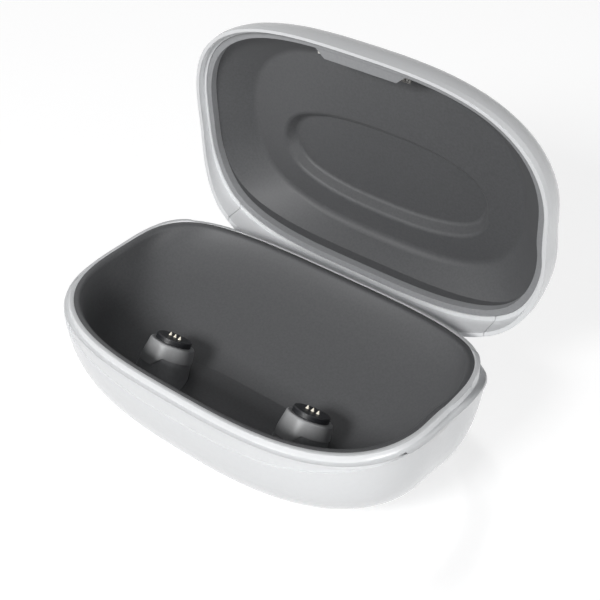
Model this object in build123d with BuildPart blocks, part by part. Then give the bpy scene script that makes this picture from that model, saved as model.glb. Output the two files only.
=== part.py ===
from build123d import *
import math
import os

os.makedirs("parts", exist_ok=True)

# A clamshell charging case for a pair of custom in-the-ear hearing aids, lid standing open.
# X runs along the case, -Y is its front, +Z is up, and z = 0 is the floor under the foot pad.
# Both halves share one egg outline, so every level section is that outline or an offset of it.
# Lid pieces are drawn as if shut, on a home plane that the open hinge has already tipped back.

# Driving sizes of the case, in millimetres
opening_half_length = 49.6
opening_front = 34.0
opening_back = 28.4
opening_front_power = 3.0
opening_back_power = 3.5
rim_height = 27.4
end_wall = 2.7
front_wall = 2.5
back_wall = 3.5
outline_points = 28
reach_of_cuts = 90.0

# The base below the rim
base_reach = 28.7
base_end_power = 4.0
base_side_power = 3.2
base_round_power = 2.5
base_bottom = 0.6
shell_wall = 1.7
shell_floor = 1.8
band_inset = 0.35
neck_thickness = 0.9
tongue_clearance = 0.04
tongue_drop = 2.5

# The lid above the rim
lid_reach = 16.8
lid_end_power = 2.85
lid_side_power = 2.3
lid_round_power = 2.4
lid_inset = 0.2
lid_wall = 1.5
lip_offset = 0.6
lip_lift = 0.3
lip_height = 2.7
skirt_inner = 1.5
skirt_depth = 13.0
parting_gap = 0.3

# The trim ring round the inside of the lid, with its wide front tab
trim_inner = -0.9
trim_clearance = 0.03
trim_lift = 0.6
trim_height = 2.0
trim_bevel = 0.5
tab_half_width = 14.1
tab_inner_half_width = 10.1
tab_edge_y = -30.5
tab_thickness = 1.3
tab_drop = 0.25
tab_edge_offset = -0.5

# The soft-touch tray in the base
tray_wall = 1.5
tray_floor = 1.2
tray_depth = 19.0
tray_reach = 21.8
tray_rim_round = 1.0
rim_stock = 1.0
tray_end_power = 2.3
tray_front_power = 2.6
tray_back_run = 33.1
tray_back_power = 1.7
tray_under_power = 1.8
tray_centre_shift = 13.0
tray_plan_power = 2.7

# The soft-touch liner in the lid
liner_wall = 1.1
liner_depth = 9.2
liner_end_slope = 1.2
liner_front_slope = 0.8
liner_back_slope = 0.5
liner_plan_power = 2.4
liner_round = 2.6
liner_rear_drop = 4.0
recess_half_length = 31.5
recess_half_width = 13.3
recess_centre_y = 3.8
recess_depth = 2.9
recess_power = 2.5
recess_draft = 2.2
recess_round = 1.3

# The hinge
hinge_y = 30.2
hinge_drop = 9.2
open_angle = 83.0
barrel_radius = 1.5
hinge_pin_radius = 0.75
pin_running_clearance = 0.05
pin_press_clearance = 0.01
centre_knuckle_half = 14.7
outer_knuckle_end = 23.0
knuckle_gap = 0.3
cover_half_length = 40.8
cover_seam = 0.12
cover_top = 1.0
cover_reach = 9.0
hinge_block_half_length = 24.5
hinge_block_front = 25.6
hinge_block_top = 6.4
hinge_block_bottom = 13.2
knuckle_web = 2.0
swing_radius = 2.2
swing_half_length = 34.0
knuckle_notch = 1.8

# The two charging posts, measured down their own leaning axes from the cap
post_half_spacing = 21.6
post_y = -11.0
post_drop = 10.0
post_tilt = 34.9
cap_radius = 4.6
cap_thickness = 1.4
cap_edge = 0.3
cap_plug_radius = 3.5
cap_plug_length = 1.6
post_top_radius = 5.45
post_flare = 0.17
collar_proud = 0.28
collar_sink = 0.5
collar_bore = 4.2
collar_flange = 0.7
collar_end = 5.0
collar_shoulder = 0.6
collar_tab_end = 7.4
collar_tab_half_top = 4.6
collar_tab_half_foot = 2.6
collar_tab_shift = -2.0
post_bore_radius = 3.6
post_bore_end = 8.3
stub_radius = 5.0
stub_level = 5.2
magnet_radius = 3.0
magnet_length = 1.8

# The sprung contact pins, three in a row on each post
pin_pitch = 1.53
contact_radius = 0.5
contact_tip_height = 0.8
contact_tip_length = 0.8
contact_tip_flat = 0.08
contact_clearance = 0.06
flange_radius = 0.62
flange_thickness = 0.5
flange_gap = 0.1
flange_bore_radius = 0.68
flange_bore_depth = 1.7
contact_tail_radius = 0.36
contact_tail_clearance = 0.07
contact_travel = 0.6
contact_tail_end = post_bore_end - contact_travel - 0.1
block_radius = 3.5
block_end = 8.2

# The electronics, the bar magnets and the fasteners
battery_size = (50.0, 23.0, 3.6)
battery_centre_y = 0.6
battery_round = 1.2
board_size = (40.0, 13.4, 1.0)
board_centre_y = 17.6
board_level = 7.0
board_post_radius = 1.5
board_post_half_spacing = 17.0
board_post_rows = (14.4, 19.2)
chip_size = (7.0, 5.0, 1.0)
chip_spacing = 12.0
socket_width = 8.94
socket_height = 3.2
socket_length = 7.4
socket_wall = 0.3
socket_setback = 0.5
socket_margin = 0.3
tongue_thickness = 0.7
contact_board_radius = 4.6
contact_board_thickness = 0.8
bar_half_spacing = 8.0
base_bar_size = (10.0, 1.0, 2.4)
base_bar_offset = 1.1
base_bar_drop = 3.7
lid_bar_size = (10.0, 1.4, 1.2)
lid_bar_y = -31.2
screw_radius = 1.0
screw_head_radius = 1.9
screw_head_depth = 1.0
screw_head_sink = 0.2
screw_head_clearance = 0.2
screw_clearance = 0.15
screw_length = 4.4
screw_half_spacing = 27.5
screw_rows = (-12.0, 4.0)
drive_width = 0.5
drive_depth = 0.6
boss_radius = 2.3
foot_half_length = 25.0
foot_front = 17.0
foot_back = 14.0
foot_power = 2.5
foot_thickness = 1.0

# Places and directions that follow from the driving sizes
hinge_z = rim_height - hinge_drop
shell_inside = base_bottom + shell_floor
open_sine = math.sin(math.radians(open_angle))
open_cosine = math.cos(math.radians(open_angle))
lid_origin_y = hinge_y - hinge_y * open_cosine - hinge_z * open_sine
lid_origin_z = hinge_z + hinge_y * open_sine - hinge_z * open_cosine
base_home = Plane.XY
lid_home = Plane(
    origin=(0, lid_origin_y, lid_origin_z),
    x_dir=(1, 0, 0),
    z_dir=(0, open_sine, open_cosine),
)
post_lean = (0, math.sin(math.radians(post_tilt)), math.cos(math.radians(post_tilt)))

# The lines that run round the case, seen from its end: the level middle, then where the
# front and the rear arc begin and how tightly they turn down (a zero keeps that side level)
rim_line = (rim_height, 0.0, 0.0, 8.0, 70.0)
parting_line = (rim_height - 1.5, 0.0, 0.0, 0.0, 60.0)
crease_line = (rim_height - 1.8, -15.0, 50.0, 0.0, 60.0)


def egg_points(half_length, front, back, front_power, back_power, centre_y):
    """Points round a smooth egg, each half of it a superellipse with its own power."""
    points = []
    for step in range(outline_points):
        angle = 2 * math.pi * step / outline_points
        along, across = abs(math.cos(angle)), abs(math.sin(angle))
        depth, power = (back, back_power) if math.sin(angle) >= 0 else (front, front_power)
        radius = ((along / half_length) ** power + (across / depth) ** power) ** (-1 / power)
        points.append((radius * math.cos(angle), centre_y + radius * math.sin(angle)))
    return points


def egg_loft(home, rows, straight=False):
    """A body lofted through level eggs: height, half length, front, back, powers, centre."""
    with BuildPart() as body:
        for height, *egg in rows:
            with BuildSketch(home.offset(height)):
                with BuildLine():
                    Spline(*egg_points(*egg), periodic=True)
                make_face()
        loft(ruled=straight)
    return body.part


def rounded(full, distance, reach, power):
    """How much of a full width is left at a distance towards a rounded end."""
    return full * (1 - min(distance / reach, 1.0) ** power) ** (1 / power)


def blend(start, end, share):
    """A value part of the way from start to end."""
    return start + (end - start) * share


def opening_prism(home, offset, low, high):
    """A straight prism on the outline of the opening, grown by an offset."""
    with BuildPart() as prism:
        with BuildSketch(home.offset(low)):
            with BuildLine():
                Spline(
                    *egg_points(
                        opening_half_length + offset,
                        opening_front + offset,
                        opening_back + offset,
                        opening_front_power,
                        opening_back_power,
                        0.0,
                    ),
                    periodic=True,
                )
            make_face()
        extrude(amount=high - low)
    return prism.part


def base_body(home, inset, bottom):
    """The outside of the base, moved in by an inset, from the rim down to a flat bottom."""
    rows = []
    for share in (0.0, 0.2, 0.4, 0.58, 0.72, 0.83, 0.91, 0.965, 1.0):
        depth = (rim_height - bottom) * share
        reach = base_reach - inset
        rows.append((
            rim_height - depth,
            rounded(opening_half_length + end_wall - inset, depth, reach, base_end_power),
            rounded(opening_front + front_wall - inset, depth, reach, base_side_power),
            rounded(opening_back + back_wall - inset, depth, reach, base_side_power),
            blend(opening_front_power, base_round_power, depth / base_reach),
            blend(opening_back_power, base_round_power, depth / base_reach),
            0.0,
        ))
    return egg_loft(home, rows)


def lid_dome(home, inset, start):
    """The outside of the lid, moved in by an inset, from over the rim to its level top."""
    rows = []
    for share in (0.0, 0.22, 0.42, 0.58, 0.71, 0.81, 0.89, 0.95, 1.0):
        reach = lid_reach - inset
        rise = blend(start, reach * 0.994, share)
        rows.append((
            rim_height + rise,
            rounded(opening_half_length + end_wall - inset, rise, reach, lid_end_power),
            rounded(opening_front + front_wall - inset, rise, reach, lid_side_power),
            rounded(opening_back + back_wall - inset, rise, reach, lid_side_power),
            blend(opening_front_power, lid_round_power, rise / lid_reach),
            blend(opening_back_power, lid_round_power, rise / lid_reach),
            0.0,
        ))
    return egg_loft(home, rows)


def tray_body(offset, reach, bottom, back_power):
    """The bowl of the tray as a solid: steep ends and front, and a long slope at the back."""
    rows = [(
        rim_height + rim_stock,
        opening_half_length + offset,
        opening_front + offset,
        opening_back + offset,
        opening_front_power,
        opening_back_power,
        0.0,
    )]
    for share in (0.0, 0.16, 0.3, 0.44, 0.57, 0.69, 0.8, 0.89, 0.95, 1.0):
        depth = bottom * share
        slope = (depth / bottom) ** back_power
        centre = -tray_centre_shift * slope
        rows.append((
            rim_height - depth,
            rounded(opening_half_length + offset, depth, reach, tray_end_power),
            rounded(opening_front + offset, depth, reach, tray_front_power) + centre,
            opening_back + offset - tray_back_run * slope - centre,
            blend(opening_front_power, tray_plan_power, share),
            blend(opening_back_power, tray_plan_power, share),
            centre,
        ))
    return egg_loft(base_home, rows)


def side_of_line(home, line, shift, far):
    """All that lies above (far over the case) or below (far under it) one of the lines."""
    level, front_start, front_radius, rear_start, rear_radius = line
    side_plane = Plane(origin=home.origin, x_dir=home.y_dir, z_dir=home.x_dir)
    with BuildPart() as side:
        with BuildSketch(side_plane):
            with BuildLine():
                middle = Line((front_start - 1, level + shift), (rear_start + 1, level + shift))
                front_end, rear_end = middle @ 0, middle @ 1
                if front_radius:
                    front_end = JernArc(middle @ 0, (-1, 0), front_radius, 42.0) @ 1
                if rear_radius:
                    rear_end = JernArc(middle @ 1, (1, 0), rear_radius, -42.0) @ 1
                Polyline(
                    rear_end,
                    (reach_of_cuts, rear_end.Y),
                    (reach_of_cuts, far),
                    (-reach_of_cuts, far),
                    (-reach_of_cuts, front_end.Y),
                    front_end,
                )
            make_face()
        extrude(amount=reach_of_cuts, both=True)
    return side.part


def hinge_rod(home, radius, start, end):
    """A round rod on the hinge axis, from start to end along X."""
    rod_plane = Plane(
        origin=home.from_local_coords((start, hinge_y, hinge_z)), x_dir=home.y_dir, z_dir=home.x_dir
    )
    with BuildPart() as rod:
        with BuildSketch(rod_plane):
            Circle(radius)
        extrude(amount=end - start)
    return rod.part


def turned(plane, points):
    """A round body turned about the axis of a plane from a radius and depth profile."""
    with BuildPart() as body:
        with BuildSketch(Plane(origin=plane.origin, x_dir=plane.x_dir, z_dir=-plane.y_dir)):
            with BuildLine():
                Polyline(*[(radius, -depth) for radius, depth in points], close=True)
            make_face()
        revolve(axis=Axis(plane.origin, plane.z_dir))
    return body.part


def cone_radius(depth):
    """How wide the flared post is at a depth down its axis."""
    return post_top_radius + (depth - cap_thickness) * post_flare


def rim_edges(piece, home, offset):
    """The edges of a piece along the rim line, inside the opening outline plus an offset."""
    level, _, _, start, radius = rim_line
    chosen = []
    for edge in piece.edges():
        middle = home.to_local_coords(edge @ 0.5)
        run = max(middle.Y - start, 0.0)
        height = level - radius + math.sqrt(radius ** 2 - run ** 2)
        depth, power = (
            (opening_back, opening_back_power) if middle.Y >= 0
            else (opening_front, opening_front_power)
        )
        share = (abs(middle.X) / (opening_half_length + offset)) ** power
        share += (abs(middle.Y) / (depth + offset)) ** power
        if abs(middle.Z - height) < 0.02 and share < 1:
            chosen.append(edge)
    return chosen


# Solids that several pieces are cut from or cut by
over = 3 * rim_height
under = -3 * rim_height
base_outside = base_body(base_home, 0.0, base_bottom)
tray_outside = tray_body(0.0, tray_reach + tray_floor, tray_depth + tray_floor, tray_under_power)
tray_inside = tray_body(-tray_wall, tray_reach, tray_depth, tray_back_power)
ledge_above = side_of_line(base_home, parting_line, -parting_gap, over)
crease_above = side_of_line(base_home, crease_line, 0.0, over)

# The white lower half of the base, its floor carrying the board posts and the screw holes
socket_level = board_level + board_size[2] + socket_height / 2
socket_end = (
    rounded(opening_back + back_wall, rim_height - socket_level, base_reach, base_side_power)
    - socket_setback
)
tongue = opening_prism(
    base_home, neck_thickness, rim_height - skirt_depth - 3, rim_height + rim_stock
)
tongue_foot = side_of_line(base_home, crease_line, -tongue_drop, under)
shell_inside_body = base_body(base_home, shell_wall, shell_inside)
swing_space = hinge_rod(base_home, swing_radius, -swing_half_length, swing_half_length)
foot_outline = egg_points(foot_half_length, foot_front, foot_back, foot_power, foot_power, 0.0)
screw_places = [
    (side * screw_half_spacing, row) for side in (-1, 1) for row in screw_rows
]
board_post_places = [
    (side * board_post_half_spacing, row) for side in (-1, 1) for row in board_post_rows
]
head_ceiling = base_bottom + screw_head_sink + screw_head_depth

below_slot = side_of_line(base_home, crease_line, -tongue_drop - tongue_clearance, under)

with BuildPart() as tongue_slot:
    add(opening_prism(base_home, neck_thickness + tongue_clearance,
                      rim_height - skirt_depth - 3, rim_height))
    add(below_slot, mode=Mode.SUBTRACT)

with BuildPart() as shell_cavity:
    add(shell_inside_body)
    add(below_slot, mode=Mode.INTERSECT)
    add(tongue_slot.part)

with BuildPart() as tongue_solid:
    add(tongue)
    add(tongue_foot, mode=Mode.SUBTRACT)

with BuildPart() as base_lower_shell:
    add(base_outside)
    add(crease_above, mode=Mode.SUBTRACT)
    add(shell_cavity.part, mode=Mode.SUBTRACT)
    add(swing_space, mode=Mode.SUBTRACT)
    with BuildSketch(Plane.XY.offset(shell_inside)):
        with Locations(*board_post_places):
            Circle(board_post_radius)
    extrude(amount=board_level - shell_inside)
    with BuildSketch():
        with BuildLine():
            Spline(*foot_outline, periodic=True)
        make_face()
    extrude(amount=foot_thickness, mode=Mode.SUBTRACT)
    with BuildSketch():
        with Locations(*screw_places):
            Circle(screw_head_radius + screw_head_clearance)
    extrude(amount=head_ceiling, mode=Mode.SUBTRACT)
    with BuildSketch():
        with Locations(*screw_places):
            Circle(screw_radius + screw_clearance)
    extrude(amount=shell_inside + 1, mode=Mode.SUBTRACT)
    with BuildSketch(Plane.XZ.offset(-socket_end + socket_length)):
        with Locations((0, socket_level)):
            RectangleRounded(
                socket_width + 2 * socket_margin,
                socket_height + 2 * socket_margin,
                socket_height / 2 + socket_margin - 0.01,
            )
    extrude(amount=-3 * socket_length, mode=Mode.SUBTRACT)
base_lower_shell.part.label = "base_lower_shell"
export_step(base_lower_shell.part, "parts/base_lower_shell.step")

# The band above the crease, one moulding with the neck, the hinge block and the outer knuckles
band_outside = base_body(base_home, band_inset, rim_height - skirt_depth)

with BuildPart() as band_ring:
    add(band_outside)
    add(crease_above, mode=Mode.INTERSECT)
    add(ledge_above, mode=Mode.SUBTRACT)

base_bar_places = [
    (side * bar_half_spacing, -opening_front - base_bar_offset) for side in (-1, 1)
]
base_bar_bottom = rim_height - base_bar_drop - base_bar_size[2] / 2

with BuildPart() as hinge_block:
    with BuildSketch(Plane.XY.offset(rim_height - hinge_block_bottom)):
        with Locations((0, (hinge_block_front + opening_back) / 2 + 0.1)):
            Rectangle(2 * hinge_block_half_length, opening_back - hinge_block_front + 0.2)
    extrude(amount=hinge_block_bottom - hinge_block_top)
    add(shell_inside_body, mode=Mode.INTERSECT)

with BuildPart() as base_upper_band:
    add(tongue_solid.part)
    add(band_ring.part)
    add(side_of_line(base_home, rim_line, 0.0, over), mode=Mode.SUBTRACT)
    add(opening_prism(base_home, 0.0, 0.0, rim_height + 2 * rim_stock), mode=Mode.SUBTRACT)
    add(hinge_block.part)
    add(hinge_rod(base_home, barrel_radius + knuckle_gap,
                  -outer_knuckle_end - knuckle_gap, outer_knuckle_end + knuckle_gap),
        mode=Mode.SUBTRACT)
    for side in (-1, 1):
        knuckle_start = min(side * (centre_knuckle_half + knuckle_gap), side * outer_knuckle_end)
        knuckle_end = max(side * (centre_knuckle_half + knuckle_gap), side * outer_knuckle_end)
        add(hinge_rod(base_home, barrel_radius, knuckle_start, knuckle_end))
        with BuildSketch(Plane.XY.offset(hinge_z - knuckle_web / 2)):
            with Locations(((knuckle_start + knuckle_end) / 2, hinge_y - 1.2)):
                Rectangle(knuckle_end - knuckle_start, 2.4)
        extrude(amount=knuckle_web)
    add(hinge_rod(base_home, hinge_pin_radius + pin_press_clearance,
                  -outer_knuckle_end, outer_knuckle_end), mode=Mode.SUBTRACT)
    with BuildSketch(Plane.XY.offset(base_bar_bottom)):
        with Locations(*base_bar_places):
            Rectangle(base_bar_size[0], base_bar_size[1])
    extrude(amount=base_bar_size[2], mode=Mode.SUBTRACT)
base_upper_band.part.label = "base_upper_band"
export_step(base_upper_band.part, "parts/base_upper_band.step")

with BuildPart() as base_magnets:
    with BuildSketch(Plane.XY.offset(base_bar_bottom)):
        with Locations(*base_bar_places):
            Rectangle(base_bar_size[0], base_bar_size[1])
    extrude(amount=base_bar_size[2])
base_magnets.part.label = "base_magnets"
export_step(base_magnets.part, "parts/base_magnets.step")

with BuildPart() as hinge_pin:
    add(hinge_rod(base_home, hinge_pin_radius, -outer_knuckle_end, outer_knuckle_end))
    chamfer(hinge_pin.edges().filter_by(GeomType.CIRCLE), length=0.15)
hinge_pin.part.label = "hinge_pin"
export_step(hinge_pin.part, "parts/hinge_pin.step")

# The two leaning posts, each a core through the tray under a collar, a cap and its contacts
post_planes = {
    name: Plane(
        origin=(side * post_half_spacing, post_y, rim_height - post_drop),
        x_dir=(1, 0, 0),
        z_dir=post_lean,
    )
    for name, side in (("left", -1), ("right", 1))
}
post_floor = tray_depth + tray_floor
post_through = (post_floor - post_drop) / math.cos(math.radians(post_tilt)) + post_bore_end
stub_run = (rim_height - post_drop - stub_level) / math.cos(math.radians(post_tilt))
stub_end_y = post_y - stub_run * math.sin(math.radians(post_tilt))
cones = {}

for name, post_plane in post_planes.items():
    cones[name] = turned(post_plane, [
        (0, cap_thickness),
        (cone_radius(cap_thickness), cap_thickness),
        (cone_radius(post_through), post_through),
        (0, post_through),
    ])
    front_plane = Plane(
        origin=post_plane.origin, x_dir=post_plane.x_dir, z_dir=-post_plane.y_dir
    )

    with BuildPart() as collar_tab:
        add(turned(post_plane, [
            (cone_radius(collar_end) - collar_sink, collar_end - collar_shoulder),
            (cone_radius(collar_end - collar_shoulder) + collar_proud,
             collar_end - collar_shoulder),
            (cone_radius(collar_tab_end) + collar_proud, collar_tab_end),
            (cone_radius(collar_tab_end) - collar_sink, collar_tab_end),
        ]))
        with BuildSketch(front_plane):
            with BuildLine():
                Polyline(
                    (collar_tab_shift - collar_tab_half_top, collar_shoulder - collar_end),
                    (collar_tab_shift + collar_tab_half_top, collar_shoulder - collar_end),
                    (collar_tab_shift + collar_tab_half_top, -collar_end),
                    (collar_tab_shift + collar_tab_half_foot, -collar_tab_end),
                    (collar_tab_shift - collar_tab_half_foot, -collar_tab_end),
                    (collar_tab_shift - collar_tab_half_top, -collar_end),
                    close=True,
                )
            make_face()
        extrude(amount=2 * collar_tab_end, mode=Mode.INTERSECT)

    with BuildPart() as post_collar:
        add(turned(post_plane, [
            (collar_bore, cap_thickness),
            (cone_radius(cap_thickness) + collar_proud, cap_thickness),
            (cone_radius(collar_end) + collar_proud, collar_end),
            (cone_radius(collar_end) - collar_sink, collar_end),
            (cone_radius(cap_thickness + collar_flange) - collar_sink,
             cap_thickness + collar_flange),
            (collar_bore, cap_thickness + collar_flange),
        ]))
        shoulder = post_collar.edges().filter_by(GeomType.CIRCLE).filter_by(
            lambda edge: abs(edge.radius - cone_radius(cap_thickness) - collar_proud) < 0.01
        )
        fillet(shoulder, collar_shoulder)
        add(collar_tab.part)
    post_collar.part.label = f"{name}_post_collar"
    export_step(post_collar.part, f"parts/{name}_post_collar.step")

    with BuildPart() as post_core:
        add(cones[name])
        add(tray_outside, mode=Mode.INTERSECT)
        add(turned(post_plane, [
            (0, post_bore_end - 1),
            (stub_radius, post_bore_end - 1),
            (stub_radius, stub_run + stub_radius),
            (0, stub_run + stub_radius),
        ]))
        with BuildSketch(Plane.XY.offset(stub_level)):
            with Locations((post_plane.origin.X, stub_end_y)):
                Rectangle(6 * stub_radius, 6 * stub_radius)
        extrude(amount=-rim_height, mode=Mode.SUBTRACT)
        add(turned(post_plane, [
            (0, 0),
            (cone_radius(post_through), 0),
            (cone_radius(post_through), cap_thickness + collar_flange),
            (0, cap_thickness + collar_flange),
        ]), mode=Mode.SUBTRACT)
        add(post_collar.part, mode=Mode.SUBTRACT)
        add(turned(post_plane, [
            (0, cap_thickness),
            (post_bore_radius, cap_thickness),
            (post_bore_radius, post_bore_end),
            (magnet_radius, post_bore_end),
            (magnet_radius, post_bore_end + magnet_length),
            (0, post_bore_end + magnet_length),
        ]), mode=Mode.SUBTRACT)
    post_core.part.label = f"{name}_post_core"
    export_step(post_core.part, f"parts/{name}_post_core.step")

    pin_planes = [
        Plane(
            origin=post_plane.from_local_coords((number * pin_pitch, 0, 0)),
            x_dir=post_plane.x_dir,
            z_dir=post_plane.z_dir,
        )
        for number in (-1, 0, 1)
    ]
    plug_end = cap_thickness + cap_plug_length

    with BuildPart() as post_cap:
        add(turned(post_plane, [
            (0, 0),
            (cap_radius, 0),
            (cap_radius, cap_thickness),
            (cap_plug_radius, cap_thickness),
            (cap_plug_radius, plug_end),
            (0, plug_end),
        ]))
        rims = post_cap.edges().filter_by(GeomType.CIRCLE).filter_by(
            lambda edge: abs(edge.radius - cap_radius) < 0.01
        )
        fillet(rims.sort_by(Axis(post_plane.origin, post_plane.z_dir))[-1], cap_edge)
        with BuildSketch(post_plane):
            with Locations(*[(number * pin_pitch, 0) for number in (-1, 0, 1)]):
                Circle(contact_radius + contact_clearance)
        extrude(amount=-plug_end - 1, mode=Mode.SUBTRACT)
    post_cap.part.label = f"{name}_post_cap"
    export_step(post_cap.part, f"parts/{name}_post_cap.step")

    with BuildPart() as contact_block:
        with BuildSketch(post_plane.offset(-plug_end)):
            Circle(block_radius)
        extrude(amount=plug_end - block_end)
        with BuildSketch(post_plane.offset(-plug_end)):
            with Locations(*[(number * pin_pitch, 0) for number in (-1, 0, 1)]):
                Circle(flange_bore_radius)
        extrude(amount=-flange_bore_depth, mode=Mode.SUBTRACT)
        with BuildSketch(post_plane.offset(-plug_end)):
            with Locations(*[(number * pin_pitch, 0) for number in (-1, 0, 1)]):
                Circle(contact_tail_radius + contact_tail_clearance)
        extrude(amount=-2 * block_end, mode=Mode.SUBTRACT)
    contact_block.part.label = f"{name}_contact_block"
    export_step(contact_block.part, f"parts/{name}_contact_block.step")

    for number, pin_plane in enumerate(pin_planes, start=1):
        flange_top = plug_end + flange_gap
        with BuildPart() as contact_pin:
            add(turned(pin_plane, [
                (0, -contact_tip_height),
                (contact_tip_flat, -contact_tip_height),
                (contact_radius, contact_tip_length - contact_tip_height),
                (contact_radius, flange_top),
                (flange_radius, flange_top),
                (flange_radius, flange_top + flange_thickness),
                (contact_tail_radius, flange_top + flange_thickness),
                (contact_tail_radius, contact_tail_end),
                (0, contact_tail_end),
            ]))
        contact_pin.part.label = f"{name}_contact_pin_{number}"
        export_step(contact_pin.part, f"parts/{name}_contact_pin_{number}.step")

    with BuildPart() as post_magnet:
        with BuildSketch(post_plane.offset(-post_bore_end)):
            Circle(magnet_radius)
        extrude(amount=-magnet_length)
    post_magnet.part.label = f"{name}_post_magnet"
    export_step(post_magnet.part, f"parts/{name}_post_magnet.step")

    with BuildPart() as contact_board:
        with BuildSketch(Plane.XY.offset(stub_level)):
            with Locations((post_plane.origin.X, stub_end_y)):
                Circle(contact_board_radius)
        extrude(amount=-contact_board_thickness)
    contact_board.part.label = f"{name}_contact_board"
    export_step(contact_board.part, f"parts/{name}_contact_board.step")

# The dark tray: a bowl with a rolled rim, the posts standing through it, screw bosses below
with BuildPart() as base_liner:
    add(tray_outside)
    with BuildSketch(Plane.XY.offset(shell_inside)):
        with Locations(*screw_places):
            Circle(boss_radius)
    extrude(amount=rim_height - shell_inside - screw_length)
    add(tray_inside, mode=Mode.SUBTRACT)
    add(side_of_line(base_home, rim_line, 0.0, over), mode=Mode.SUBTRACT)
    fillet(rim_edges(base_liner, base_home, -tray_wall / 2), tray_rim_round)
    for cone in cones.values():
        add(cone, mode=Mode.SUBTRACT)
    with BuildSketch(Plane.XY.offset(head_ceiling)):
        with Locations(*screw_places):
            Circle(screw_radius)
    extrude(amount=screw_length, mode=Mode.SUBTRACT)
base_liner.part.label = "base_liner"
export_step(base_liner.part, "parts/base_liner.step")

# The fasteners, the foot, and the electronics between the tray and the floor of the shell
with BuildPart() as base_screws:
    with BuildSketch(Plane.XY.offset(base_bottom + screw_head_sink)):
        with Locations(*screw_places):
            Circle(screw_head_radius)
    extrude(amount=screw_head_depth)
    with BuildSketch(Plane.XY.offset(head_ceiling)):
        with Locations(*screw_places):
            Circle(screw_radius)
    extrude(amount=screw_length)
    with BuildSketch(Plane.XY.offset(base_bottom + screw_head_sink)):
        with Locations(*screw_places):
            Rectangle(2 * screw_radius, drive_width)
            Rectangle(drive_width, 2 * screw_radius)
    extrude(amount=drive_depth, mode=Mode.SUBTRACT)
base_screws.part.label = "base_screws"
export_step(base_screws.part, "parts/base_screws.step")

with BuildPart() as foot_pad:
    with BuildSketch():
        with BuildLine():
            Spline(*foot_outline, periodic=True)
        make_face()
    extrude(amount=foot_thickness)
    fillet(foot_pad.edges().group_by(Axis.Z)[0], foot_thickness / 4)
foot_pad.part.label = "foot_pad"
export_step(foot_pad.part, "parts/foot_pad.step")

with BuildPart() as battery_cell:
    with BuildSketch(Plane.XY.offset(shell_inside)):
        with Locations((0, battery_centre_y)):
            Rectangle(battery_size[0], battery_size[1])
    extrude(amount=battery_size[2])
    fillet(battery_cell.edges().filter_by(Axis.Y), battery_round)
battery_cell.part.label = "battery_cell"
export_step(battery_cell.part, "parts/battery_cell.step")

with BuildPart() as main_board:
    with BuildSketch(Plane.XY.offset(board_level)):
        with Locations((0, board_centre_y)):
            Rectangle(board_size[0], board_size[1])
    extrude(amount=board_size[2])
    with BuildSketch(Plane.XY.offset(board_level + board_size[2])):
        with Locations((-chip_spacing, board_centre_y), (chip_spacing, board_centre_y)):
            Rectangle(chip_size[0], chip_size[1])
    extrude(amount=chip_size[2])
main_board.part.label = "main_board"
export_step(main_board.part, "parts/main_board.step")

socket_plane = Plane.XZ.offset(-socket_end)

with BuildPart() as usb_c_socket:
    with BuildSketch(socket_plane):
        with Locations((0, socket_level)):
            RectangleRounded(socket_width, socket_height, socket_height / 2 - 0.01)
    extrude(amount=socket_length)
    with BuildSketch(socket_plane):
        with Locations((0, socket_level)):
            RectangleRounded(
                socket_width - 2 * socket_wall,
                socket_height - 2 * socket_wall,
                socket_height / 2 - socket_wall - 0.01,
            )
    extrude(amount=socket_length - 2 * socket_wall, mode=Mode.SUBTRACT)
    with BuildSketch(socket_plane.offset(socket_wall)):
        with Locations((0, socket_level)):
            Rectangle(socket_width - 2 * socket_wall - 2 * tongue_thickness, tongue_thickness)
    extrude(amount=socket_length - 2 * socket_wall)
usb_c_socket.part.label = "usb_c_socket"
export_step(usb_c_socket.part, "parts/usb_c_socket.step")

# The lid: one dome with a skirt that hangs over the neck, its rear third a separate cover
lid_low = rim_height - skirt_depth
lip_top = rim_height + lip_height
lid_below_lip = side_of_line(lid_home, rim_line, lip_lift, under)

with BuildPart() as lid_whole:
    add(lid_dome(lid_home, lid_inset, 0.0))
    add(base_body(lid_home, lid_inset, lid_low))
    add(side_of_line(lid_home, parting_line, 0.0, over), mode=Mode.INTERSECT)
    add(lid_dome(lid_home, lid_inset + lid_wall, lip_height), mode=Mode.SUBTRACT)
    add(opening_prism(lid_home, lip_offset, 0.0, lip_top), mode=Mode.SUBTRACT)

with BuildPart() as skirt_pocket:
    add(opening_prism(lid_home, skirt_inner, 0.0, rim_height + 1))
    add(lid_below_lip, mode=Mode.INTERSECT)


def cover_zone(half_length):
    """The stretch of the lid's rear skirt that belongs to the hinge cover."""
    with BuildPart() as zone:
        with BuildSketch(lid_home.offset(lid_low)):
            with Locations((0, hinge_y)):
                Rectangle(2 * half_length, 2 * cover_reach)
        extrude(amount=rim_height + cover_top - lid_low)
    return zone.part


with BuildPart() as lid_outer_shell:
    add(lid_whole.part)
    add(skirt_pocket.part, mode=Mode.SUBTRACT)
    add(cover_zone(cover_half_length + cover_seam), mode=Mode.SUBTRACT)
lid_outer_shell.part.label = "lid_outer_shell"
export_step(lid_outer_shell.part, "parts/lid_outer_shell.step")

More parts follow.
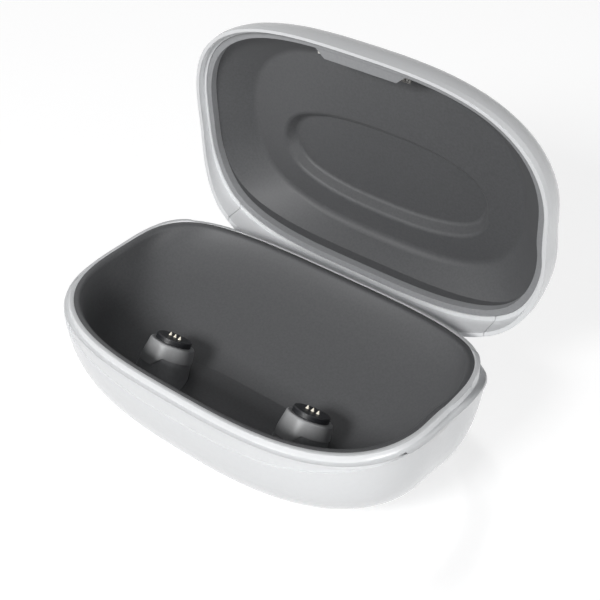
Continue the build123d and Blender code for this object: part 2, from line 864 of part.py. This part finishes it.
with BuildPart() as lid_hinge_cover:
    add(lid_whole.part)
    add(skirt_pocket.part, mode=Mode.SUBTRACT)
    add(cover_zone(cover_half_length), mode=Mode.INTERSECT)
    with BuildSketch(lid_home.offset(lid_low)):
        for side in (-1, 1):
            with Locations((side * (centre_knuckle_half + outer_knuckle_end + knuckle_gap) / 2,
                            hinge_y)):
                Rectangle(outer_knuckle_end + knuckle_gap - centre_knuckle_half, 2 * cover_reach)
    extrude(amount=hinge_z + knuckle_notch - lid_low, mode=Mode.SUBTRACT)
    add(hinge_rod(lid_home, barrel_radius, -centre_knuckle_half, centre_knuckle_half))
    add(hinge_rod(lid_home, hinge_pin_radius + pin_running_clearance,
                  -outer_knuckle_end, outer_knuckle_end), mode=Mode.SUBTRACT)
lid_hinge_cover.part.label = "lid_hinge_cover"
export_step(lid_hinge_cover.part, "parts/lid_hinge_cover.step")

# The grey trim ring inside the lip of the lid, with the wide tab at its front
with BuildPart() as lid_trim_ring:
    add(opening_prism(lid_home, lip_offset - trim_clearance, 0.0, rim_height + 3 * trim_height))
    add(side_of_line(lid_home, rim_line, trim_lift, under), mode=Mode.SUBTRACT)
    add(side_of_line(lid_home, rim_line, trim_lift + trim_height, over), mode=Mode.SUBTRACT)
    add(opening_prism(lid_home, trim_inner, 0.0, over), mode=Mode.SUBTRACT)

with BuildPart() as trim_tab:
    with BuildSketch(lid_home.offset(rim_height + trim_lift + tab_drop)):
        with BuildLine():
            Polyline(
                (-tab_half_width, -opening_front),
                (tab_half_width, -opening_front),
                (tab_inner_half_width, tab_edge_y),
                (-tab_inner_half_width, tab_edge_y),
                close=True,
            )
        make_face()
    extrude(amount=tab_thickness)
    add(opening_prism(lid_home, trim_inner + 0.5, 0.0, over), mode=Mode.INTERSECT)

with BuildPart() as lid_trim:
    add(lid_trim_ring.part)
    add(trim_tab.part)
lid_trim.part.label = "lid_trim_ring"
export_step(lid_trim.part, "parts/lid_trim_ring.step")


def liner_body(wall, depth):
    """The inside of the lid as a solid: upright at the trim, then drawn in to a plateau."""
    bend = trim_lift + trim_height
    rows = []
    for rise in (-liner_rear_drop, bend, depth):
        draw = max(rise - bend, 0.0)
        rows.append((
            rim_height + rise,
            opening_half_length + trim_inner + wall - liner_end_slope * draw,
            opening_front + trim_inner + wall - liner_front_slope * draw,
            opening_back + trim_inner + wall - liner_back_slope * draw,
            blend(opening_front_power, liner_plan_power, draw / liner_depth),
            blend(opening_back_power, liner_plan_power, draw / liner_depth),
            0.0,
        ))
    return egg_loft(lid_home, rows, straight=True)


def recess_body(wall, mouth, bottom):
    """The oval hollow in the plateau of the lid's liner, drawn in towards its bottom."""
    rows = []
    for rise, draft in ((mouth, 0.0), (bottom, recess_draft)):
        rows.append((
            rim_height + rise,
            recess_half_length + wall - draft,
            recess_half_width + wall - draft,
            recess_half_width + wall - draft,
            recess_power,
            recess_power,
            recess_centre_y,
        ))
    return egg_loft(lid_home, rows, straight=True)


lid_up = Axis(lid_home.origin, lid_home.z_dir)

with BuildPart() as liner_outer:
    add(liner_body(liner_wall, liner_depth + liner_wall))
    fillet(liner_outer.edges().group_by(lid_up)[-1], liner_round + liner_wall)
    add(recess_body(liner_wall, liner_depth, liner_depth + recess_depth + liner_wall))

with BuildPart() as liner_inner:
    add(liner_body(0.0, liner_depth))
    fillet(liner_inner.edges().group_by(lid_up)[-1], liner_round)

with BuildPart() as recess_inner:
    add(recess_body(0.0, liner_depth - 0.5, liner_depth + recess_depth))
    fillet(recess_inner.edges().group_by(lid_up)[-1], recess_round)

with BuildPart() as lid_liner:
    add(liner_outer.part)
    add(liner_inner.part, mode=Mode.SUBTRACT)
    add(recess_inner.part, mode=Mode.SUBTRACT)
    add(side_of_line(lid_home, rim_line, trim_lift + trim_height, over), mode=Mode.INTERSECT)
    mouth = lid_liner.edges().filter_by(
        lambda edge: abs(lid_home.to_local_coords(edge @ 0.5).Z - rim_height - liner_depth) < 0.01
        and abs(lid_home.to_local_coords(edge @ 0.5).X) < recess_half_length + 1
        and abs(lid_home.to_local_coords(edge @ 0.5).Y - recess_centre_y) < recess_half_width + 1
    )
    fillet(mouth, recess_round)
lid_liner.part.label = "lid_liner"
export_step(lid_liner.part, "parts/lid_liner.step")

lid_bar_bottom = rim_height + trim_lift + tab_drop + tab_thickness

with BuildPart() as lid_magnets:
    with BuildSketch(lid_home.offset(lid_bar_bottom)):
        with Locations((-bar_half_spacing, lid_bar_y), (bar_half_spacing, lid_bar_y)):
            Rectangle(lid_bar_size[0], lid_bar_size[1])
    extrude(amount=lid_bar_size[2])
lid_magnets.part.label = "lid_magnets"
export_step(lid_magnets.part, "parts/lid_magnets.step")
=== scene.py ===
import math

import bmesh
import bpy
from mathutils import Matrix, Vector


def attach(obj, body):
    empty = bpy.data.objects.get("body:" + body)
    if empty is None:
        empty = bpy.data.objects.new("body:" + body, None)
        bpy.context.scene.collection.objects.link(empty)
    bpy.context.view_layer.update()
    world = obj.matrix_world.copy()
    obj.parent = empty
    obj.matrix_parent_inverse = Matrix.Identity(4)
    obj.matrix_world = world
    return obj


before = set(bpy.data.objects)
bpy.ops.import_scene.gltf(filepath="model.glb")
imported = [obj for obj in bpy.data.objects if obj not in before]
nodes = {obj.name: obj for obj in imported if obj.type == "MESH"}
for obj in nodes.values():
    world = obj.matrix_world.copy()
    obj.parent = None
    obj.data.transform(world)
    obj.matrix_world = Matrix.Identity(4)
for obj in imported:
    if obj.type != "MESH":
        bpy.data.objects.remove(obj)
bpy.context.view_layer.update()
MM = 0.001

# Sizes of the case in millimetres, as the solids have them: an arc starts at a depth
# behind the middle and has a radius, and a power is a superellipse's
RIM_HEIGHT = 27.4
OPENING_HALF_LENGTH = 49.6
OPENING_FRONT = 34.0
OPENING_BACK = 28.4
FRONT_POWER, BACK_POWER = 3.0, 3.5
OUTSIDE_FRONT_POWER, OUTSIDE_BACK_POWER = 2.97, 3.44
END_WALL = 2.7
FRONT_WALL = 2.5
BACK_WALL = 3.5
LEDGE_DEPTH = 1.8
RIM_ARC = (9.0, 70.0)
LEDGE_ARC = (1.0, 60.0)
BAND_INSET = 0.35
SIDES = ("left", "right")

# The ring over the shoulder: how far it stands off the band, where across the case the
# band comes out to the shell's own face, and where in the neck the ring's rear is sunk
BAND_STAND_OFF = 0.02
BAND_CHANGE = (-31.0, -23.0)
HIDDEN_REACH = 0.45
HIDDEN_DEPTH = 1.2

# The photograph's camera, round the middle of the opening
CAMERA_AZIMUTH = 39.02
CAMERA_ELEVATION = 37.90
CAMERA_DISTANCE = 269.68
CAMERA_LENS = 67.14
CAMERA_SHIFT_X = 0.0502
CAMERA_SHIFT_Y = 0.0300

# How much of the floor is plain white where it is looked at; the rest keeps the shadow
FLOOR_WHITE_SHARE = 0.81
FLOOR_POLISH = 0.18
FLOOR_DARKER, FLOOR_LIGHTER = 0.50, 0.54
FLOOR_HALF_SIZE = 3.0
SKY_STRENGTH = 0.07


def node_of(tree, kind, inputs=None, **settings):
    """A shader node with its settings and unlinked input values."""
    made = tree.nodes.new(kind)
    for name, value in settings.items():
        setattr(made, name, value)
    for name, value in (inputs or {}).items():
        made.inputs[name].default_value = value
    return made


def make_grain_group():
    """Shared moulded surface: rounded edges, a fine grain and a slow unevenness."""
    group = bpy.data.node_groups.new("moulded_surface", "ShaderNodeTree")
    for name, kind, default in (
        ("Grain size", "NodeSocketFloat", 2500.0),
        ("Grain depth", "NodeSocketFloat", 0.1),
        ("Wave depth", "NodeSocketFloat", 0.02),
    ):
        socket = group.interface.new_socket(name=name, in_out="INPUT", socket_type=kind)
        socket.default_value = default
    group.interface.new_socket(name="Normal", in_out="OUTPUT", socket_type="NodeSocketVector")
    group.interface.new_socket(name="Speckle", in_out="OUTPUT", socket_type="NodeSocketFloat")
    enter = group.nodes.new("NodeGroupInput")
    leave = group.nodes.new("NodeGroupOutput")
    place = group.nodes.new("ShaderNodeTexCoord")
    grain = node_of(group, "ShaderNodeTexNoise", {"Detail": 3.0, "Roughness": 0.6})
    wave = node_of(group, "ShaderNodeTexNoise", {"Scale": 60.0, "Detail": 1.0})
    edge = node_of(group, "ShaderNodeBevel", {"Radius": 0.0002}, samples=6)
    fine = node_of(group, "ShaderNodeBump", {"Distance": 0.00004})
    slow = node_of(group, "ShaderNodeBump", {"Distance": 0.0006})
    link = group.links.new
    link(place.outputs["Object"], grain.inputs["Vector"])
    link(enter.outputs["Grain size"], grain.inputs["Scale"])
    link(place.outputs["Object"], wave.inputs["Vector"])
    link(grain.outputs["Fac"], fine.inputs["Height"])
    link(enter.outputs["Grain depth"], fine.inputs["Strength"])
    link(edge.outputs["Normal"], fine.inputs["Normal"])
    link(wave.outputs["Fac"], slow.inputs["Height"])
    link(enter.outputs["Wave depth"], slow.inputs["Strength"])
    link(fine.outputs["Normal"], slow.inputs["Normal"])
    link(slow.outputs["Normal"], leave.inputs["Normal"])
    link(grain.outputs["Fac"], leave.inputs["Speckle"])
    return group


moulded = make_grain_group()


def moulded_material(name, colour, shade, rough, grain=2500.0, depth=0.1, wave=0.0,
                     rough_spread=0.06, **shader_values):
    """A moulded or plated surface whose colour and gloss vary a little with its grain."""
    material = bpy.data.materials.new(name)
    material.use_nodes = True
    tree = material.node_tree
    shader = tree.nodes["Principled BSDF"]
    surface = tree.nodes.new("ShaderNodeGroup")
    surface.node_tree = moulded
    surface.inputs["Grain size"].default_value = grain
    surface.inputs["Grain depth"].default_value = depth
    surface.inputs["Wave depth"].default_value = wave
    tint = tree.nodes.new("ShaderNodeValToRGB")
    tint.color_ramp.elements[0].position = 0.35
    tint.color_ramp.elements[0].color = (*[c * shade for c in colour], 1)
    tint.color_ramp.elements[1].position = 0.65
    tint.color_ramp.elements[1].color = (*colour, 1)
    gloss = node_of(tree, "ShaderNodeMapRange", {
        "From Min": 0.3, "From Max": 0.7,
        "To Min": rough - rough_spread, "To Max": rough + rough_spread,
    })
    link = tree.links.new
    link(surface.outputs["Speckle"], tint.inputs["Fac"])
    link(surface.outputs["Speckle"], gloss.inputs["Value"])
    link(tint.outputs["Color"], shader.inputs["Base Color"])
    link(gloss.outputs["Result"], shader.inputs["Roughness"])
    link(surface.outputs["Normal"], shader.inputs["Normal"])
    for socket, value in shader_values.items():
        shader.inputs[socket.replace("_", " ")].default_value = value
    return material


white = moulded_material("white_gloss_shell", (0.84, 0.85, 0.86), 0.985, 0.20, 900.0, 0.03,
                         rough_spread=0.03, Specular_IOR_Level=0.35)
dark = moulded_material("soft_touch_liner", (0.104, 0.106, 0.110), 0.82, 0.55, 1700.0, 0.35,
                        Sheen_Weight=0.05, Sheen_Roughness=0.5)
trim = moulded_material("grey_trim", (0.34, 0.345, 0.355), 0.92, 0.45, 1500.0, 0.15)
collar_grey = moulded_material("collar_grey", (0.47, 0.475, 0.48), 0.95, 0.38, 1500.0, 0.12)
# Post core grey: its own colour is lighter than the liner's, and it is raised further as
# painted light, standing in for fill light that does not reach the shaded post
post_grey_with_painted_light = moulded_material("post_grey_with_painted_light", (0.33, 0.335, 0.345), 0.88, 0.36, 1500.0, 0.15)
cap_black = moulded_material("cap_black", (0.016, 0.017, 0.020), 0.85, 0.42, 1800.0, 0.12)
gold = moulded_material("gold_contact", (0.93, 0.88, 0.76), 0.92, 0.28, 3000.0, 0.05,
                        Metallic=1.0)
rubber = moulded_material("foot_rubber", (0.045, 0.045, 0.048), 0.8, 0.7, 1200.0, 0.5)
steel = moulded_material("steel", (0.55, 0.56, 0.58), 0.9, 0.3, 2200.0, 0.1, Metallic=1.0)
nickel = moulded_material("nickel", (0.66, 0.65, 0.62), 0.95, 0.18, 2200.0, 0.04, Metallic=1.0)
board = moulded_material("board_green", (0.02, 0.13, 0.05), 0.8, 0.35, 1400.0, 0.2)
pouch = moulded_material("cell_pouch", (0.42, 0.44, 0.47), 0.9, 0.38, 700.0, 0.3, wave=0.2)

finishes = {
    "base_lower_shell": white,
    "base_upper_band": white,
    "base_liner": dark,
    "foot_pad": rubber,
    "base_screws": steel,
    "base_magnets": nickel,
    "hinge_pin": steel,
    "battery_cell": pouch,
    "main_board": board,
    "usb_c_socket": steel,
    "lid_outer_shell": white,
    "lid_hinge_cover": white,
    "lid_trim_ring": trim,
    "lid_liner": dark,
    "lid_magnets": nickel,
}
for side in SIDES:
    finishes[f"{side}_post_core"] = post_grey_with_painted_light
    finishes[f"{side}_post_collar"] = collar_grey
    finishes[f"{side}_post_cap"] = cap_black
    finishes[f"{side}_contact_block"] = cap_black
    finishes[f"{side}_post_magnet"] = nickel
    finishes[f"{side}_contact_board"] = board
    for number in (1, 2, 3):
        finishes[f"{side}_contact_pin_{number}"] = gold
for name, material in finishes.items():
    nodes[name].data.materials.clear()
    nodes[name].data.materials.append(material)


def egg_point(angle, half_length, front, back, front_power, back_power):
    """The point of a smooth egg in a direction, each half of it a superellipse."""
    along, across = abs(math.cos(angle)), abs(math.sin(angle))
    depth, power = (back, back_power) if math.sin(angle) >= 0 else (front, front_power)
    radius = ((along / half_length) ** power + (across / depth) ** power) ** (-1 / power)
    return radius * math.cos(angle), radius * math.sin(angle)


def opening_point(angle, reach):
    """The point of the opening's outline in a direction, moved out by a reach."""
    return egg_point(angle, OPENING_HALF_LENGTH + reach, OPENING_FRONT + reach,
                     OPENING_BACK + reach, FRONT_POWER, BACK_POWER)


def arc_drop(run, radius):
    """How far an arc has turned down after a level run."""
    run = max(run, 0.0)
    return radius - math.sqrt(radius ** 2 - run ** 2)


def smooth_share(value, start, end):
    """Zero before start, one after end, and a smooth rise between."""
    share = min(max((value - start) / (end - start), 0.0), 1.0)
    return share * share * (3 - 2 * share)


# The section of the rim and shoulder, from the tray over the neck to the outer edge:
# measured from the opening or in from the outside, and up from the rim or the ledge line
SHOULDER_SECTION = (
    ("opening", -0.18, "rim", -0.90),
    ("opening", -0.18, "rim", -0.18),
    ("opening", -0.10, "rim", -0.03),
    ("opening", 0.04, "rim", 0.03),
    ("opening", 0.74, "rim", 0.03),
    ("opening", 0.90, "rim", -0.03),
    ("opening", 0.97, "rim", -0.18),
    ("opening", 0.97, "ledge", 0.08),
    ("opening", 1.03, "ledge", 0.04),
    ("opening", 1.18, "ledge", 0.02),
    ("outside", 0.95, "ledge", 0.02),
    ("outside", 0.60, "ledge", -0.02),
    ("outside", 0.36, "ledge", -0.14),
    ("edge", 0.10, "ledge", -0.32),
    ("edge", 0.00, "ledge", -0.60),
    ("edge", 0.30, "ledge", -0.90),
    ("opening", 1.15, "ledge", -0.90),
)
SHOULDER_SEGMENTS = 240
RIM_LEVELLING = 0.45
# Behind this stretch the ring sinks into the neck, where the hinge is
REAR_CHANGE = (math.sin(math.radians(24)), math.sin(math.radians(32)))


def shoulder_place(angle, step):
    """Where a step of the section lies in a direction round the case, in metres."""
    kind, out, line, lift = SHOULDER_SECTION[step]
    rear = smooth_share(math.sin(angle), *REAR_CHANGE)
    reach = {"opening": out, "outside": -out, "edge": -out}[kind]
    if kind == "opening":
        x, y = opening_point(angle, reach)
    else:
        if kind == "edge":
            y_guess = egg_point(angle, OPENING_HALF_LENGTH + END_WALL,
                                OPENING_FRONT + FRONT_WALL, OPENING_BACK + BACK_WALL,
                                FRONT_POWER, BACK_POWER)[1]
            reach += BAND_STAND_OFF - BAND_INSET * (1 - smooth_share(y_guess, *BAND_CHANGE))
        x, y = egg_point(angle, OPENING_HALF_LENGTH + END_WALL + reach,
                         OPENING_FRONT + FRONT_WALL + reach, OPENING_BACK + BACK_WALL + reach,
                         OUTSIDE_FRONT_POWER, OUTSIDE_BACK_POWER)
    fall = arc_drop(y - RIM_ARC[0], RIM_ARC[1])
    rim = RIM_HEIGHT - fall + RIM_LEVELLING * (1 - math.exp(-fall / RIM_LEVELLING))
    ledge = RIM_HEIGHT - LEDGE_DEPTH - arc_drop(y - LEDGE_ARC[0], LEDGE_ARC[1])
    z = (rim if line == "rim" else ledge) + lift
    if rear > 0:
        hidden = opening_point(angle, HIDDEN_REACH)
        x, y = x + (hidden[0] - x) * rear, y + (hidden[1] - y) * rear
        hidden_level = RIM_HEIGHT - arc_drop(y - RIM_ARC[0], RIM_ARC[1]) - HIDDEN_DEPTH
        z += (hidden_level - z) * rear
    return Vector((x, y, z)) * MM


def make_shoulder():
    """The rim over the neck and the rounded shoulder outside it, in one smooth turn."""
    form = bmesh.new()
    bmesh.ops.create_circle(form, cap_ends=False, radius=1.0, segments=SHOULDER_SEGMENTS)
    edges = first = form.edges[:]
    for _ in SHOULDER_SECTION[1:]:
        raised = bmesh.ops.extrude_edge_only(form, edges=edges)["geom"]
        bmesh.ops.translate(form, vec=(0, 0, 1), verts=[
            part for part in raised if isinstance(part, bmesh.types.BMVert)
        ])
        edges = [part for part in raised if isinstance(part, bmesh.types.BMEdge)
                 and all(abs(v.co.z - part.verts[0].co.z) < 0.1 for v in part.verts)
                 and round(part.verts[0].co.z) == round(max(v.co.z for v in form.verts))]
    bmesh.ops.bridge_loops(form, edges=first + edges)
    for vertex in form.verts:
        vertex.co = shoulder_place(math.atan2(vertex.co.y, vertex.co.x), round(vertex.co.z))
    bmesh.ops.recalc_face_normals(form, faces=form.faces)
    mesh = bpy.data.meshes.new("rim_shoulder")
    form.to_mesh(mesh)
    form.free()
    mesh.shade_smooth()
    mesh.materials.append(white)
    ring = bpy.data.objects.new("rim_shoulder", mesh)
    bpy.context.scene.collection.objects.link(ring)
    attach(ring, "base")


make_shoulder()


def plain_ray_share(tree, paths):
    """One for a ray that looks straight, by a mirror or through glass, and else zero."""
    total = paths.outputs["Is Camera Ray"]
    for kind in ("Is Glossy Ray", "Is Transmission Ray"):
        joined = node_of(tree, "ShaderNodeMath", operation="MAXIMUM")
        tree.links.new(total, joined.inputs[0])
        tree.links.new(paths.outputs[kind], joined.inputs[1])
        total = joined.outputs["Value"]
    return total


def make_floor():
    """A pale floor that runs far past the picture, with the object's shadow kept."""
    mesh = bpy.data.meshes.new("floor")
    form = bmesh.new()
    bmesh.ops.create_grid(form, x_segments=1, y_segments=1, size=FLOOR_HALF_SIZE)
    form.to_mesh(mesh)
    form.free()
    floor = bpy.data.objects.new("floor", mesh)
    bpy.context.scene.collection.objects.link(floor)
    material = bpy.data.materials.new("floor_white")
    material.use_nodes = True
    tree = material.node_tree
    shader = tree.nodes["Principled BSDF"]
    shader.inputs["Roughness"].default_value = 0.9
    speck = node_of(tree, "ShaderNodeTexNoise", {"Scale": 30.0, "Detail": 2.0})
    ramp = tree.nodes.new("ShaderNodeValToRGB")
    ramp.color_ramp.elements[0].color = (*[FLOOR_DARKER] * 3, 1)
    ramp.color_ramp.elements[1].color = (*[FLOOR_LIGHTER] * 3, 1)
    tree.links.new(speck.outputs["Fac"], ramp.inputs["Fac"])
    tree.links.new(ramp.outputs["Color"], shader.inputs["Base Color"])
    white_floor = tree.nodes.new("ShaderNodeEmission")
    paths = tree.nodes.new("ShaderNodeLightPath")
    share = node_of(tree, "ShaderNodeMath", {1: FLOOR_WHITE_SHARE}, operation="MULTIPLY")
    both = tree.nodes.new("ShaderNodeAddShader")
    polish = node_of(tree, "ShaderNodeBsdfGlossy", {"Roughness": 0.16})
    polished = tree.nodes.new("ShaderNodeMixShader")
    sheen = node_of(tree, "ShaderNodeMath", {1: FLOOR_POLISH}, operation="MULTIPLY")
    tree.links.new(paths.outputs["Is Camera Ray"], sheen.inputs[0])
    tree.links.new(sheen.outputs["Value"], polished.inputs["Fac"])
    tree.links.new(plain_ray_share(tree, paths), share.inputs[0])
    tree.links.new(share.outputs["Value"], white_floor.inputs["Strength"])
    tree.links.new(shader.outputs["BSDF"], both.inputs[0])
    tree.links.new(white_floor.outputs["Emission"], both.inputs[1])
    tree.links.new(both.outputs["Shader"], polished.inputs[1])
    tree.links.new(polish.outputs["BSDF"], polished.inputs[2])
    tree.links.new(polished.outputs["Shader"], tree.nodes["Material Output"].inputs["Surface"])
    mesh.materials.append(material)


make_floor()


OPENING_MIDDLE = Vector((0, 0, RIM_HEIGHT * MM))


def direction_round(azimuth, elevation):
    """The direction from the case at an angle round it and an angle up, both in degrees."""
    turn, lift = math.radians(azimuth), math.radians(elevation)
    return Vector((
        math.sin(turn) * math.cos(lift), -math.cos(turn) * math.cos(lift), math.sin(lift)
    ))


def soft_light(name, azimuth, elevation, distance, width, height, power):
    """A softbox that looks at the middle of the opening from a direction round the case."""
    back = direction_round(azimuth, elevation)
    lamp = bpy.data.lights.new(name, "AREA")
    lamp.shape = "RECTANGLE"
    lamp.size, lamp.size_y, lamp.energy = width, height, power
    holder = bpy.data.objects.new(name, lamp)
    holder.location = back * distance + OPENING_MIDDLE
    holder.rotation_euler = back.to_track_quat("Z", "Y").to_euler()
    bpy.context.scene.collection.objects.link(holder)


soft_light("key_softbox", -6, 33, 0.75, 0.24, 0.18, 4.0)
soft_light("top_softbox", 20, 80, 0.80, 0.60, 0.45, 0.1)
soft_light("left_softbox", -66, 5, 0.80, 0.16, 0.12, 0.1)
soft_light("right_softbox", 80, 4, 0.85, 0.45, 0.10, 3.0)

world = bpy.data.worlds.new("studio")
world.use_nodes = True
sky = world.node_tree
sky_background = sky.nodes["Background"]
sky_background.inputs["Color"].default_value = (0.93, 0.95, 1.0, 1)
sky_background.inputs["Strength"].default_value = SKY_STRENGTH
paths = sky.nodes.new("ShaderNodeLightPath")
seen = node_of(sky, "ShaderNodeBackground", {"Color": (1, 1, 1, 1), "Strength": 1.0})
mix = sky.nodes.new("ShaderNodeMixShader")
looked_at = plain_ray_share(sky, paths)
sky.links.new(looked_at, mix.inputs["Fac"])
sky.links.new(sky_background.outputs["Background"], mix.inputs[1])
sky.links.new(seen.outputs["Background"], mix.inputs[2])
sky.links.new(mix.outputs["Shader"], sky.nodes["World Output"].inputs["Surface"])
bpy.context.scene.world = world

camera_data = bpy.data.cameras.new("camera")
camera_data.lens = CAMERA_LENS
camera_data.shift_x = CAMERA_SHIFT_X
camera_data.shift_y = CAMERA_SHIFT_Y
camera_data.clip_start = 0.01
camera = bpy.data.objects.new("camera", camera_data)
turn = math.radians(CAMERA_AZIMUTH)
back = direction_round(CAMERA_AZIMUTH, CAMERA_ELEVATION)
right = Vector((math.cos(turn), math.sin(turn), 0))
up = back.cross(right)
camera.matrix_world = Matrix.Translation(
    back * CAMERA_DISTANCE * MM + OPENING_MIDDLE
) @ Matrix((right, up, back)).transposed().to_4x4()
bpy.context.scene.collection.objects.link(camera)
bpy.context.scene.camera = camera
bpy.context.scene.view_settings.view_transform = "Standard"
